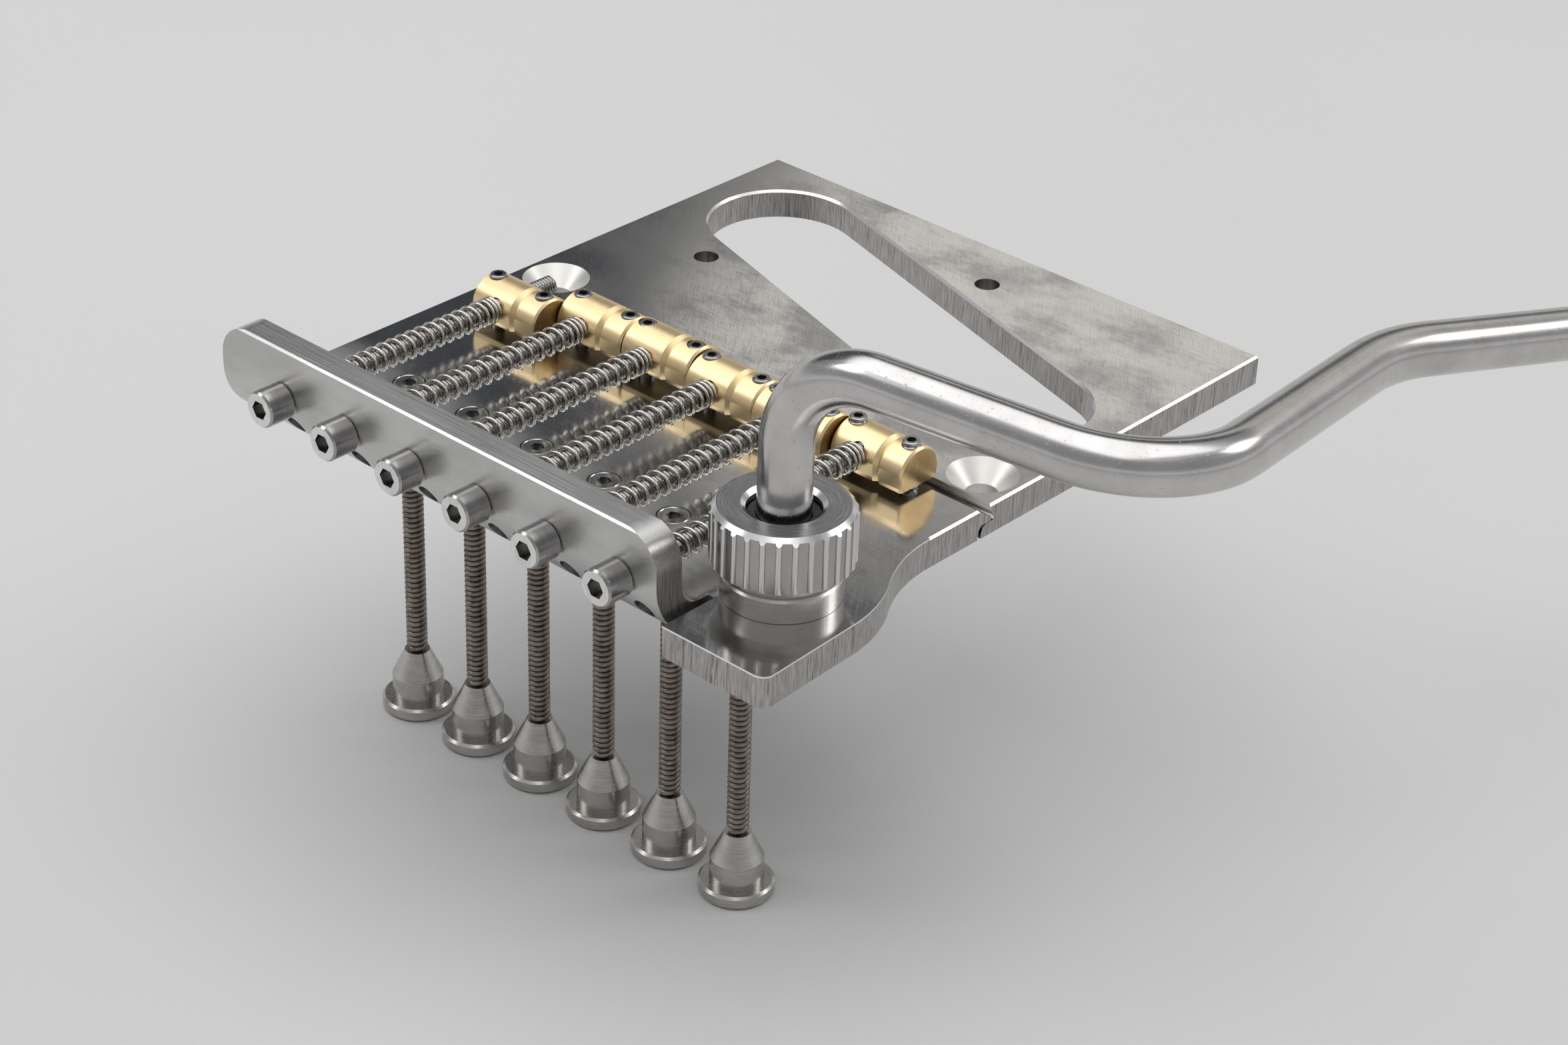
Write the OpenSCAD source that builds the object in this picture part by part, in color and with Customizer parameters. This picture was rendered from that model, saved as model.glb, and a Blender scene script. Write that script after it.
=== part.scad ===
// Guitar tremolo bridge with a plate that tilts on a knife edge. Millimetres.
// Origin: midway between the two body screw holes, on the underside of the plates.
// +X to the treble side, +Y towards the neck, +Z up from the guitar's top.

/* [Strings and saddles] */
// Distance from one saddle to the next
string_pitch = 10.8; // [10.4:0.1:11]
// Gap between neighbouring saddles
saddle_gap = 0.2; // [0.1:0.05:0.5]
// Shift of the row of saddles to the bass side
saddle_shift = 0.45; // [0:0.05:0.6]
// Diameter of a saddle bar
saddle_d = 6.6; // [6.4:0.1:7]
// Distance from a saddle's axis down to its flat underside
saddle_drop = 1.4; // [1.3:0.05:1.8]
// Distance from a saddle's axis to its flat rear side
saddle_side = 3.2; // [2.9:0.05:3.2]
// Gap between the plate and saddle 1
saddle_1_lift = 1.1; // [0.4:0.1:1.8]
// Gap between the plate and saddle 2
saddle_2_lift = 1.3; // [0.4:0.1:1.8]
// Gap between the plate and saddle 3
saddle_3_lift = 1.5; // [0.4:0.1:1.8]
// Gap between the plate and saddle 4
saddle_4_lift = 1.2; // [0.4:0.1:1.8]
// Gap between the plate and saddle 5
saddle_5_lift = 1.3; // [0.4:0.1:1.8]
// Gap between the plate and saddle 6
saddle_6_lift = 0.8; // [0.4:0.1:1.8]
// Width of the string groove turned round a saddle
groove_w = 1; // [0.6:0.1:1.4]
// Depth of the string groove
groove_depth = 0.4; // [0.2:0.05:0.6]
// Distance from a saddle's middle to its groove
groove_x = 1.6; // [1.2:0.1:1.8]
// Chamfer on the ends of a saddle
saddle_chamfer = 0.25; // [0.1:0.05:0.4]
// Saddle 1, distance of its axis behind the body screws
saddle_1_back = 12.6; // [8:0.1:16]
// Saddle 2, distance of its axis behind the body screws
saddle_2_back = 8.9; // [8:0.1:16]
// Saddle 3, distance of its axis behind the body screws
saddle_3_back = 8.9; // [8:0.1:16]
// Saddle 4, distance of its axis behind the body screws
saddle_4_back = 9.3; // [8:0.1:16]
// Saddle 5, distance of its axis behind the body screws
saddle_5_back = 9.6; // [8:0.1:16]
// Saddle 6, distance of its axis behind the body screws
saddle_6_back = 8.1; // [8:0.1:16]

/* [Height screws] */
// Diameter of a height screw
grub_d = 2.1; // [1.8:0.1:2.2]
// Length of a height screw
grub_len = 6.05; // [5.6:0.05:7.5]
// Distance from a saddle's end in to its height screw
grub_in = 1.35; // [1.25:0.05:1.5]
// Width across the flats of a height screw's socket
grub_hex = 1; // [0.8:0.05:1.2]
// Depth of a height screw's socket
grub_hex_depth = 1.6; // [1:0.1:2.5]

/* [Intonation screws] */
// Height of the intonation screws above the underside of the plates
screw_z = 7.1; // [6.9:0.05:7.5]
// Wall in a saddle between the bores of its intonation screw and its bass height screw
screw_web = 0.1; // [0.05:0.05:0.2]
// Diameter of an intonation screw's shank
screw_d = 2.4; // [2:0.1:2.4]
// Distance from the wall's outer face to the tip of an intonation screw
screw_len = 42.5; // [41:0.5:44]
// Diameter of an intonation screw's head
head_d = 4.4; // [4:0.1:5]
// Length of an intonation screw's head
head_len = 3.5; // [2.8:0.1:4.2]
// Width across the flats of the head's socket
head_hex = 2; // [1.6:0.1:2.4]
// Depth of the head's socket
head_hex_depth = 2; // [1.2:0.1:2.6]
// Chamfer on the rim of the head
head_chamfer = 0.35; // [0.1:0.05:0.5]

/* [Intonation springs] */
// Wire of an intonation spring
spring_wire = 0.36; // [0.3:0.02:0.4]
// Gap between a spring's wire and the screw inside it, at the corners of the coil
spring_gap = 0.17; // [0.16:0.01:0.2]
// Turns of each intonation spring
spring_turns = 15; // [10:1:15]

/* [Plates] */
// Width of the two plates
plate_w = 79; // [78:0.5:82]
// Thickness of the two plates
plate_t = 3.8; // [3.6:0.1:4.2]
// Distance from the body screws forward to the front edge
front_y = 46.1; // [44:0.5:50]
// Distance from the body screws back to the outer face of the wall
rear_y = 48.5; // [48:0.5:51]
// Chamfer on the top edges of the plates
edge_chamfer = 0.25; // [0.1:0.05:0.4]
// Distance from a side edge of the plates in to a body screw
body_screw_in = 5; // [4.5:0.1:6.5]
// Bore for a body screw
body_bore = 3.8; // [3.4:0.1:4.2]
// Diameter of the countersink at the top of a body screw's bore
body_sink = 8.4; // [7.6:0.1:8.6]

/* [Pickup opening] */
// Width of the pickup slot
slot_w = 19.2; // [18:0.2:20]
// Distance from the middle to the centre of each round end
slot_x = 25.7; // [24:0.1:27]
// Round end on the bass side, distance in front of the body screws
slot_bass_y = 32.1; // [31:0.1:33]
// Round end on the treble side, distance in front of the body screws
slot_treble_y = 15.8; // [15:0.1:18]
// Chamfer round the top of the slot
slot_chamfer = 0.3; // [0.1:0.05:0.5]
// Diameter of a pickup screw's hole
pickup_bore = 3.2; // [2.6:0.1:3.6]
// Distance of the two rear pickup screws from the middle, along the slot
pickup_along = 22.5; // [20:0.5:24]
// Distance of the rear pickup screws from the slot's centre line
pickup_rear = 13.7; // [13:0.1:14.2]
// Distance of the front pickup screw from the slot's centre line
pickup_front = 14; // [13:0.1:15]

/* [Knife edge] */
// Distance from the body screws back to the fixed plate's top rear edge
slit_y = 4.75; // [4.6:0.05:5.2]
// Width of the slit at the top
slit_w = 1.7; // [1.4:0.05:1.9]
// Radius of the tilting plate's nose
nose_r = 0.32; // [0.24:0.02:0.36]
// Depth of the nose's centre under the top of the plates
nose_drop = 1.78; // [1.7:0.02:1.86]
// Distance of the nose's centre in front of the fixed plate's top rear edge
nose_in = 0.09; // [0:0.01:0.16]
// Depth of the undercut in front of the nose
undercut = 0.86; // [0.8:0.02:0.94]
// Radius of the lip that carries the nose
lip_r = 1.15; // [1:0.05:1.2]
// Distance of the lip's centre behind the fixed plate's top rear edge
lip_back = 0.16; // [0.1:0.02:0.2]
// Gap between the lip and the tilting plate's hollow underside
lip_gap = 0.55; // [0.45:0.05:0.6]
// Gap between the nose and its seat
seat_gap = 0.04; // [0.02:0.01:0.08]

/* [Wall of the tilting plate] */
// Height of the wall above the underside of the plates
wall_h = 13.6; // [12.8:0.1:16]
// Length of the wall past the last intonation screw
wall_over = 5.45; // [4.8:0.05:5.7]
// Radius of the wall's top corners
wall_corner_r = 4.4; // [3:0.1:4.6]
// Outer radius of the bend between plate and wall
bend_r = 7.9; // [7:0.1:8.6]
// Inner radius of the bend between plate and wall
fillet_r = 2.7; // [2:0.1:3.4]
// Bore of a string hole
string_bore = 2.7; // [2.2:0.1:3]
// Distance from one string hole to the next, over that of the saddles
string_hole_spread = 0.4; // [0:0.05:0.6]
// Shift of the row of string holes to the bass side
string_hole_shift = 0.45; // [-0.3:0.05:0.6]
// Angle of the string holes to the plate
string_hole_tilt = 33; // [28:1:40]

/* [Ear and arm post] */
// Distance of the post's axis from the wall's treble end
post_out = 5; // [4.8:0.1:5.5]
// Distance of the post's axis behind the body screws
post_back = 34.6; // [33.5:0.1:35]
// Distance of the ear's treble edge from the post's axis, at its front
ear_out = 9.8; // [9:0.1:10.5]
// Extra width of the ear at its rear corner
ear_flare = 0.6; // [0:0.1:1]
// Distance behind the body screws where the ear's curve starts
ear_start = 15; // [13:0.5:17]
// Length of the ear's curved edge
ear_curve = 20; // [17:0.5:21]
// Radius of the ear's rear corner
ear_corner_r = 1.5; // [0.8:0.1:2.5]
// Width of the cut between ear and wall
relief_w = 0.9; // [0.6:0.1:1.2]
// Diameter of the post's flange
flange_d = 13.3; // [12.8:0.1:14]
// Height of the post's flange
flange_h = 2.77; // [2.4:0.05:3.2]
// Diameter of the neck above the flange
neck_d = 12.2; // [11.6:0.1:12.6]
// Height of the neck above the flange
neck_h = 1.43; // [1:0.05:1.8]
// Diameter of the post's thread
thread_d = 10.8; // [10.2:0.1:11]
// Length of the post's thread
thread_h = 4.4; // [3.6:0.1:4.6]
// Diameter of the post's foot in the ear
foot_d = 9.6; // [9.2:0.1:10]
// Bottom of the post's bore above the underside
post_floor = 1.2; // [0.8:0.1:1.6]

/* [Knurled nut] */
// Diameter over the ridges of the nut
nut_d = 15.9; // [15.2:0.1:16.1]
// Height of the nut
nut_h = 6.66; // [6:0.1:8]
// Height of a ridge above the nut's body
ridge_h = 0.3; // [0.2:0.05:0.4]
// Width of a ridge
ridge_w = 0.7; // [0.6:0.05:0.9]
// Number of ridges round the nut
ridges = 28; // [20:2:32]
// Chamfer at the top of the nut
nut_chamfer = 0.77; // [0.5:0.05:0.9]
// Diameter of the hole in the nut's top
nut_hole = 8.2; // [8:0.1:8.6]
// Chamfer at the rim of the nut's hole
nut_rim = 0.5; // [0.2:0.05:0.7]

/* [Arm] */
// Diameter of the arm
arm_d = 6; // [5.6:0.1:6.2]
// Wall of the bush round the arm
bush_wall = 0.95; // [0.85:0.05:0.98]
// Depth of the bush's top under the top of the nut
bush_set = 1.2; // [0.8:0.1:1.4]
// Height of the arm's first leg above the underside of the plates
arm_top = 32.6; // [30:0.5:40]
// Length of the first leg from the post's axis to the second bend
leg_1_len = 45.74; // [40:0.5:52]
// Angle of the first leg in plan, from +X towards +Y
leg_1_turn = 6.4; // [0:0.1:12]
// Length of the second leg
leg_2_len = 45.22; // [40:0.5:52]
// Angle of the second leg in plan, from +X towards +Y
leg_2_turn = 97.4; // [90:0.1:105]
// Angle of the second leg below the level
leg_2_dip = 4.6; // [0:0.1:6]
// Length of the last leg
leg_3_len = 88; // [60:1:110]
// Angle of the last leg in plan, from +X towards +Y
leg_3_turn = 76; // [70:0.5:84]
// Angle of the last leg below the level
leg_3_dip = 10; // [6:0.5:12]
// Radius of the arm's first bend
bend_1_r = 11; // [9:0.5:13]
// Radius of the arm's second bend
bend_2_r = 13; // [10:0.5:15]
// Radius of the arm's third bend
bend_3_r = 30; // [20:1:40]

/* [Springs under the plate] */
// Distance of the anchor screws behind the body screws
anchor_back = 31.3; // [30:0.1:33]
// Shift of the row of anchor screws to the treble side
anchor_shift = 0.1; // [-0.2:0.05:0.2]
// Diameter of an anchor screw's head
anchor_d = 3.9; // [3.6:0.1:4.4]
// Height of an anchor screw's head
anchor_head_h = 1.3; // [1:0.1:1.8]
// Diameter of an anchor screw's body
anchor_body_d = 3.1; // [2.8:0.1:3.4]
// Width across the flats of an anchor screw's socket
anchor_hex = 1.7; // [1.3:0.1:2]
// Outer diameter of a tension spring
tension_d = 2.65; // [2.5:0.05:2.9]
// Wire of a tension spring
tension_wire = 0.75; // [0.65:0.01:0.8]
// Length of a tension spring
tension_len = 33.2; // [30:0.5:36]
// Length of the stems that hold a tension spring's ends
stem_len = 3; // [2:0.5:5]
// Diameter at the top of a ferrule
ferrule_top_d = 3.1; // [2.9:0.1:3.4]
// Height of a ferrule's cone
ferrule_cone_h = 3.4; // [2.5:0.1:4.5]
// Diameter of a ferrule's barrel
ferrule_d = 6.3; // [5.8:0.1:6.8]
// Height of a ferrule's barrel
ferrule_barrel_h = 3; // [2:0.1:4]
// Diameter of a ferrule's flange
ferrule_flange_d = 8.9; // [8.2:0.1:9.6]
// Height of a ferrule's flange
ferrule_flange_h = 1.7; // [1.2:0.1:2.4]
// Chamfer on a ferrule's flange
ferrule_chamfer = 0.3; // [0.1:0.05:0.5]

/* [Fits] */
// Radial gap where a piece turns or slides in another
run_gap = 0.05; // [0.03:0.01:0.07]
// Radial gap where a piece is fixed in another
fixed_gap = 0.02; // [0.01:0.01:0.03]
// Gap between faces that seat on each other
face_gap = 0.04; // [0.02:0.01:0.08]

/* [Hidden] */
$fn = 64;
strings = 6;
// The middle of the row, counted in strings
row_middle = (strings + 1) / 2;
// Overshoot of a cutting shape past the face it cuts
past = 1;
// Sides and rings a turn of the wound springs
wire_sides = 6;
turn_rings = 8;
// Sides of the bent arm, largest angle between its rings, and rings of its domed tip
arm_sides = 28;
arm_step = 8;
tip_steps = 5;
// Lap of the straight stub over the bent arm, and the step in radius between them
arm_lap = 1;
arm_shrink = 0.01;

saddle_backs = [saddle_1_back, saddle_2_back, saddle_3_back, saddle_4_back, saddle_5_back, saddle_6_back];
saddle_len = string_pitch - saddle_gap;
saddle_lifts = [saddle_1_lift, saddle_2_lift, saddle_3_lift, saddle_4_lift, saddle_5_lift, saddle_6_lift];
grub_x = saddle_len / 2 - grub_in;
screw_x = grub_x - grub_d / 2 - screw_d / 2 - 2 * run_gap - screw_web;
function saddle_x(i) = (i - row_middle) * string_pitch - saddle_shift;
function saddle_y(i) = -saddle_backs[i - 1];
function saddle_z(i) = plate_t + saddle_lifts[i - 1] + saddle_drop;

nose_y = nose_in - slit_y;
nose_z = plate_t - nose_drop;
ledge_z = nose_z - nose_r - seat_gap;
lip_y = -slit_y - lip_back;
lip_z = ledge_z - lip_r;
relief_r = lip_r + lip_gap;
tilt_front_y = -slit_y - slit_w;
// Depth of the bevel's end inside the nose
nose_bite = 0.02;

slot_turn = atan2(slot_treble_y - slot_bass_y, 2 * slot_x);
slot_len = norm([2 * slot_x, slot_treble_y - slot_bass_y]);
slot_mid_y = (slot_bass_y + slot_treble_y) / 2;
slot_cut_z = plate_t / 2;

body_screw_span = plate_w - 2 * body_screw_in;
string_hole_pitch = string_pitch + string_hole_spread;

wall_end_x = saddle_x(strings) - screw_x + wall_over;
wall_inner_y = plate_t - rear_y;
bend_y = bend_r - rear_y;
ear_cut_x = wall_end_x + relief_w;
post_x = wall_end_x + post_out;
ear_x = post_x + ear_out;
ear_step = ear_x - plate_w / 2;
ear_r = (ear_step * ear_step + ear_curve * ear_curve) / (4 * ear_step);
ear_full_y = -ear_start - ear_curve;
ear_mid_y = -ear_start - ear_curve / 2;
// The ear's hollow curve is a little flatter than its round one, so that the two cross
hollow_r = 1.01 * ear_r;

post_y = -post_back;
flange_top = plate_t + face_gap + flange_h;
nut_bottom = flange_top + neck_h;
nut_top = nut_bottom + nut_h;
thread_top = nut_bottom + thread_h;
bush_d = arm_d + 2 * run_gap + 2 * bush_wall;
bush_top = nut_top - bush_set;
bush_bottom = post_floor + face_gap;
arm_bottom = bush_bottom + bush_wall + face_gap;

coil_r = screw_d / 2 + spring_gap + spring_wire / 2;
anchor_y = -anchor_back;
function anchor_x(i) = (i - row_middle) * string_pitch + anchor_shift;
stem_d = tension_d - 2 * tension_wire - 2 * fixed_gap;
tension_top = -face_gap;
tension_bottom = tension_top - tension_len;
ferrule_top = tension_bottom - face_gap;
ferrule_cone_z = ferrule_top - ferrule_cone_h;
ferrule_barrel_z = ferrule_cone_z - ferrule_barrel_h;
ferrule_bottom = ferrule_barrel_z - ferrule_flange_h;

// A flat outline in Y and Z, drawn out along X from x0 to x1
module along_x(x0, x1) {
  translate([x0, 0, 0])
    rotate([90, 0, 90])
      linear_extrude(height = x1 - x0)
        children();
}

// A cutter that bevels the top edge of a plate along Y, on the side given by its sign
module side_bevel(side, y0, y1, depth) {
  translate([side * plate_w / 2, y1, plate_t])
    rotate([90, 0, 0])
      linear_extrude(height = y1 - y0)
        polygon([[-side * depth, 0], [0, -depth], [side * past, -depth], [side * past, past], [-side * depth, past]]);
}

// A hexagonal prism, measured across its flats
module hexagon(flats, height) {
  cylinder(r = flats / 2 / cos(30), h = height, $fn = 6);
}

// Outline of the fixed plate, with the undercut and the lip that carry the nose
module fixed_outline() {
  slope = undercut / (plate_t - ledge_z);
  polygon([
    [front_y, 0],
    [front_y, plate_t - edge_chamfer],
    [front_y - edge_chamfer, plate_t],
    [edge_chamfer - slit_y, plate_t],
    [slope * edge_chamfer - slit_y, plate_t - edge_chamfer],
    [undercut - slit_y, ledge_z],
    [lip_y, ledge_z],
    [lip_y, lip_z],
    [lip_y - lip_r, lip_z],
    [lip_y - lip_r, 0]
  ]);
  intersection() {
    translate([lip_y, lip_z]) circle(r = lip_r);
    translate([lip_y - lip_r, lip_z]) square([lip_r, lip_r]);
  }
}

// The slot for the pickup, with its bevelled rim
module pickup_slot() {
  rim_r = slot_w / 2 + slot_chamfer + past;
  translate([0, slot_mid_y, 0])
    rotate([0, 0, slot_turn]) {
      for (side = [-1, 1])
        translate([side * slot_len / 2, 0, 0]) {
          translate([0, 0, -past]) cylinder(d = slot_w, h = plate_t + 2 * past);
          translate([0, 0, plate_t - slot_chamfer])
            cylinder(r1 = slot_w / 2, r2 = rim_r, h = slot_chamfer + past);
        }
      translate([-slot_len / 2, -slot_w / 2, -past]) cube([slot_len, slot_w, plate_t + 2 * past]);
      translate([-slot_len / 2, 0, plate_t - slot_chamfer])
        rotate([90, 0, 90])
          linear_extrude(height = slot_len)
            polygon([
              [-slot_w / 2, 0], [slot_w / 2, 0],
              [rim_r, slot_chamfer + past], [-rim_r, slot_chamfer + past]
            ]);
    }
}

// Three holes for the pickup's screws, placed from the slot
module pickup_holes() {
  spots = [[-pickup_along, -pickup_rear], [pickup_along, -pickup_rear], [0, pickup_front]];
  translate([0, slot_mid_y, -past])
    rotate([0, 0, slot_turn])
      for (spot = spots)
        translate([spot[0], spot[1], 0]) cylinder(d = pickup_bore, h = plate_t + 2 * past);
}

module body_holes() {
  sink_h = (body_sink - body_bore) / 2;
  for (side = [-1, 1])
    translate([side * body_screw_span / 2, 0, 0]) {
      translate([0, 0, -past]) cylinder(d = body_bore, h = plate_t + 2 * past);
      translate([0, 0, plate_t - sink_h])
        cylinder(d1 = body_bore, d2 = body_sink + 2 * past, h = sink_h + past);
    }
}

module fixed_plate() {
  color([0.66, 0.67, 0.69])
    difference() {
      along_x(-plate_w / 2, plate_w / 2) fixed_outline();
      for (side = [-1, 1])
        side_bevel(side, -slit_y - slit_w, front_y + past, edge_chamfer);
      body_holes();
      pickup_slot();
      pickup_holes();
    }
}

// End of the bevel from the top front edge, just inside the nose
function bevel_touch() =
  let (r = nose_r - nose_bite)
  let (away = [tilt_front_y - nose_y, plate_t - nose_z])
  let (turn = atan2(away[1], away[0]) - acos(r / norm(away)))
  [nose_y + r * cos(turn), nose_z + r * sin(turn)];

// Outline of the tilting plate from its nose back to the start of the bend
module nose_outline() {
  under_z = nose_z - nose_r;
  relief_y = lip_y - relief_r;
  polygon([
    [tilt_front_y, plate_t - edge_chamfer],
    bevel_touch(),
    [nose_y, nose_z],
    [nose_y, under_z],
    [relief_y, under_z],
    [relief_y, 0],
    [bend_y, 0],
    [bend_y, plate_t],
    [tilt_front_y - edge_chamfer, plate_t]
  ]);
  translate([nose_y, nose_z]) circle(r = nose_r);
  difference() {
    translate([relief_y, lip_z]) square([lip_y - relief_y, under_z - lip_z]);
    translate([lip_y, lip_z]) circle(r = relief_r);
  }
}

// Outline of the bend and the wall
module wall_outline() {
  difference() {
    intersection() {
      translate([bend_y, bend_r]) circle(r = bend_r);
      translate([-rear_y, 0]) square([bend_r, bend_r]);
    }
    translate([wall_inner_y, plate_t]) square([bend_r, bend_r]);
  }
  difference() {
    translate([wall_inner_y, plate_t]) square([fillet_r, fillet_r]);
    translate([wall_inner_y + fillet_r, plate_t + fillet_r]) circle(r = fillet_r);
  }
  polygon([
    [-rear_y, bend_r],
    [wall_inner_y, bend_r],
    [wall_inner_y, wall_h - edge_chamfer],
    [wall_inner_y - edge_chamfer, wall_h],
    [edge_chamfer - rear_y, wall_h],
    [-rear_y, wall_h - edge_chamfer]
  ]);
}

// A cutter that rounds one top corner of the wall
module wall_corner(x, side) {
  translate([x - side * wall_corner_r, -rear_y, wall_h - wall_corner_r])
    rotate([90, 0, 0])
      translate([0, 0, -plate_t - past])
        linear_extrude(height = plate_t + 2 * past)
          difference() {
            translate([side > 0 ? 0 : -wall_corner_r - past, 0]) square(wall_corner_r + past);
            circle(r = wall_corner_r);
          }
}

// Outline of the ear in plan
module ear_outline() {
  half_w = plate_w / 2;
  difference() {
    union() {
      translate([ear_cut_x, -rear_y]) square([half_w - ear_cut_x, rear_y - ear_start]);
      polygon([[half_w, ear_full_y], [ear_x, ear_full_y], [ear_x + ear_flare, -rear_y], [half_w, -rear_y]]);
      difference() {
        union() {
          intersection() {
            translate([ear_x - ear_r, ear_full_y]) circle(r = ear_r);
            translate([half_w, ear_full_y]) square([ear_step, ear_curve / 2]);
          }
          translate([half_w, ear_mid_y]) square([ear_step, ear_curve / 2]);
        }
        translate([half_w + hollow_r, -ear_start]) circle(r = hollow_r);
      }
    }
    translate([ear_x + ear_flare - ear_corner_r, -rear_y + ear_corner_r])
      difference() {
        translate([0, -ear_corner_r - past]) square(ear_corner_r + past);
        circle(r = ear_corner_r);
      }
  }
}

function string_hole_x(i) = (i - row_middle) * string_hole_pitch - string_hole_shift;

module string_holes() {
  for (i = [1:strings])
    translate([string_hole_x(i), bend_y, bend_r])
      rotate([90 + string_hole_tilt, 0, 0])
        cylinder(d = string_bore, h = bend_r + past);
}

module intonation_bores() {
  for (i = [1:strings])
    translate([saddle_x(i) - screw_x, wall_inner_y + past, screw_z])
      rotate([90, 0, 0])
        cylinder(d = screw_d + 2 * run_gap, h = plate_t + 2 * past);
}

module anchor_seats() {
  for (i = [1:strings])
    translate([anchor_x(i), anchor_y, 0]) {
      translate([0, 0, -past]) cylinder(d = anchor_body_d + 2 * fixed_gap, h = plate_t + 2 * past);
      translate([0, 0, plate_t - anchor_head_h - face_gap])
        cylinder(d = anchor_d + 2 * fixed_gap, h = anchor_head_h + face_gap + past);
    }
}

module tilting_plate() {
  color([0.64, 0.65, 0.67])
    difference() {
      union() {
        difference() {
          along_x(-plate_w / 2, wall_end_x) {
            nose_outline();
            wall_outline();
          }
          wall_corner(-plate_w / 2, -1);
          wall_corner(wall_end_x, 1);
        }
        along_x(wall_end_x, plate_w / 2)
          intersection() {
            nose_outline();
            translate([-ear_start, 0]) square([ear_start, plate_t]);
          }
        translate([wall_end_x, bend_y, 0]) cube([relief_w, -ear_start - bend_y, plate_t]);
        linear_extrude(height = plate_t) ear_outline();
      }
      side_bevel(-1, wall_inner_y + fillet_r, nose_y + past, edge_chamfer);
      side_bevel(1, -ear_start, nose_y + past, edge_chamfer);
      string_holes();
      intonation_bores();
      anchor_seats();
      translate([post_x, post_y, -past]) cylinder(d = foot_d + 2 * fixed_gap, h = plate_t + 2 * past);
    }
}

// A turned bar with its string groove, along X
module saddle_bar() {
  r = saddle_d / 2;
  half = saddle_len / 2;
  rotate([0, 90, 0])
    rotate_extrude()
      polygon([
        [0, -half],
        [r - saddle_chamfer, -half],
        [r, saddle_chamfer - half],
        [r, groove_x - groove_w / 2],
        [r - groove_depth, groove_x],
        [r, groove_x + groove_w / 2],
        [r, half - saddle_chamfer],
        [r - saddle_chamfer, half],
        [0, half]
      ]);
}

module saddle(i) {
  color([0.83, 0.69, 0.42])
    translate([saddle_x(i), saddle_y(i), saddle_z(i)])
      difference() {
        intersection() {
          saddle_bar();
          translate([-saddle_len / 2, -saddle_side, -saddle_drop])
            cube([saddle_len, saddle_side + saddle_d, saddle_drop + saddle_d]);
        }
        for (side = [-1, 1])
          translate([side * grub_x, 0, -saddle_d]) cylinder(d = grub_d + 2 * run_gap, h = 2 * saddle_d);
        translate([-screw_x, saddle_d, screw_z - saddle_z(i)])
          rotate([90, 0, 0])
            cylinder(d = screw_d + 2 * run_gap, h = 2 * saddle_d);
      }
}

module height_screw(i, side) {
  r = grub_d / 2;
  bevel = grub_d / 10;
  color([0.62, 0.63, 0.65])
    translate([saddle_x(i) + side * grub_x, saddle_y(i), plate_t + face_gap])
      difference() {
        rotate_extrude()
          polygon([
            [0, 0],
            [r - bevel, 0],
            [r, bevel],
            [r, grub_len - bevel],
            [r - bevel, grub_len],
            [0, grub_len]
          ]);
        translate([0, 0, grub_len - grub_hex_depth]) hexagon(grub_hex, grub_hex_depth + past);
      }
}

module intonation_screw(i) {
  head_y = -rear_y - face_gap;
  color([0.6, 0.61, 0.63])
    translate([saddle_x(i) - screw_x, head_y, screw_z])
      rotate([90, 0, 0])
        difference() {
          union() {
            rotate_extrude()
              polygon([
                [0, 0],
                [head_d / 2, 0],
                [head_d / 2, head_len - head_chamfer],
                [head_d / 2 - head_chamfer, head_len],
                [0, head_len]
              ]);
            translate([0, 0, -screw_len]) cylinder(d = screw_d, h = screw_len);
          }
          translate([0, 0, head_len - head_hex_depth]) hexagon(head_hex, head_hex_depth + past);
        }
}

// Centre line of a wound spring along Z: straight ends, square to what they meet
function coil_points(r, wire, turns, length) =
  let (rise = (length - 2 * wire) / turns / turn_rings)
  concat(
    [[r, 0, 0]],
    [for (k = [0:turns * turn_rings])
      [r * cos(k * 360 / turn_rings), r * sin(k * 360 / turn_rings), wire + k * rise]],
    [[r, 0, length]]
  );

// Outward direction from the spring's axis at one ring
function coil_out(k, turns) =
  let (last = turns * turn_rings)
  let (a = min(max(k - 1, 0), last) * 360 / turn_rings)
  [cos(a), sin(a), 0];

// Direction of the wire at one ring, halfway between its neighbours
function coil_along(points, k) =
  let (n = len(points) - 1)
  let (ahead = k < n ? points[k + 1] - points[k] : points[n] - points[n - 1])
  let (behind = k > 0 ? points[k] - points[k - 1] : points[1] - points[0])
  let (mean = ahead / norm(ahead) + behind / norm(behind))
  mean / norm(mean);

// Corners of one ring, widened on the mitre so that the wire keeps its thickness
function coil_ring(points, k, turns, wire) =
  let (along = coil_along(points, k))
  let (out = coil_out(k, turns))
  let (up = cross(along, out))
  let (step = k > 0 ? points[k] - points[k - 1] : points[1] - points[0])
  let (mitre = (step / norm(step)) * along)
  [for (s = [0:wire_sides - 1])
    points[k] + wire / 2 * (out * cos(s * 360 / wire_sides) + up * sin(s * 360 / wire_sides) / mitre)];

// Least distance between neighbouring turns, less the wire
function coil_gap(points, wire) =
  let (n = len(points) - 1)
  min([for (i = [0:n]) for (j = [i + turn_rings / 2:min(i + 2 * turn_rings, n)])
    norm(points[i] - points[j])]) - wire;

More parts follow.
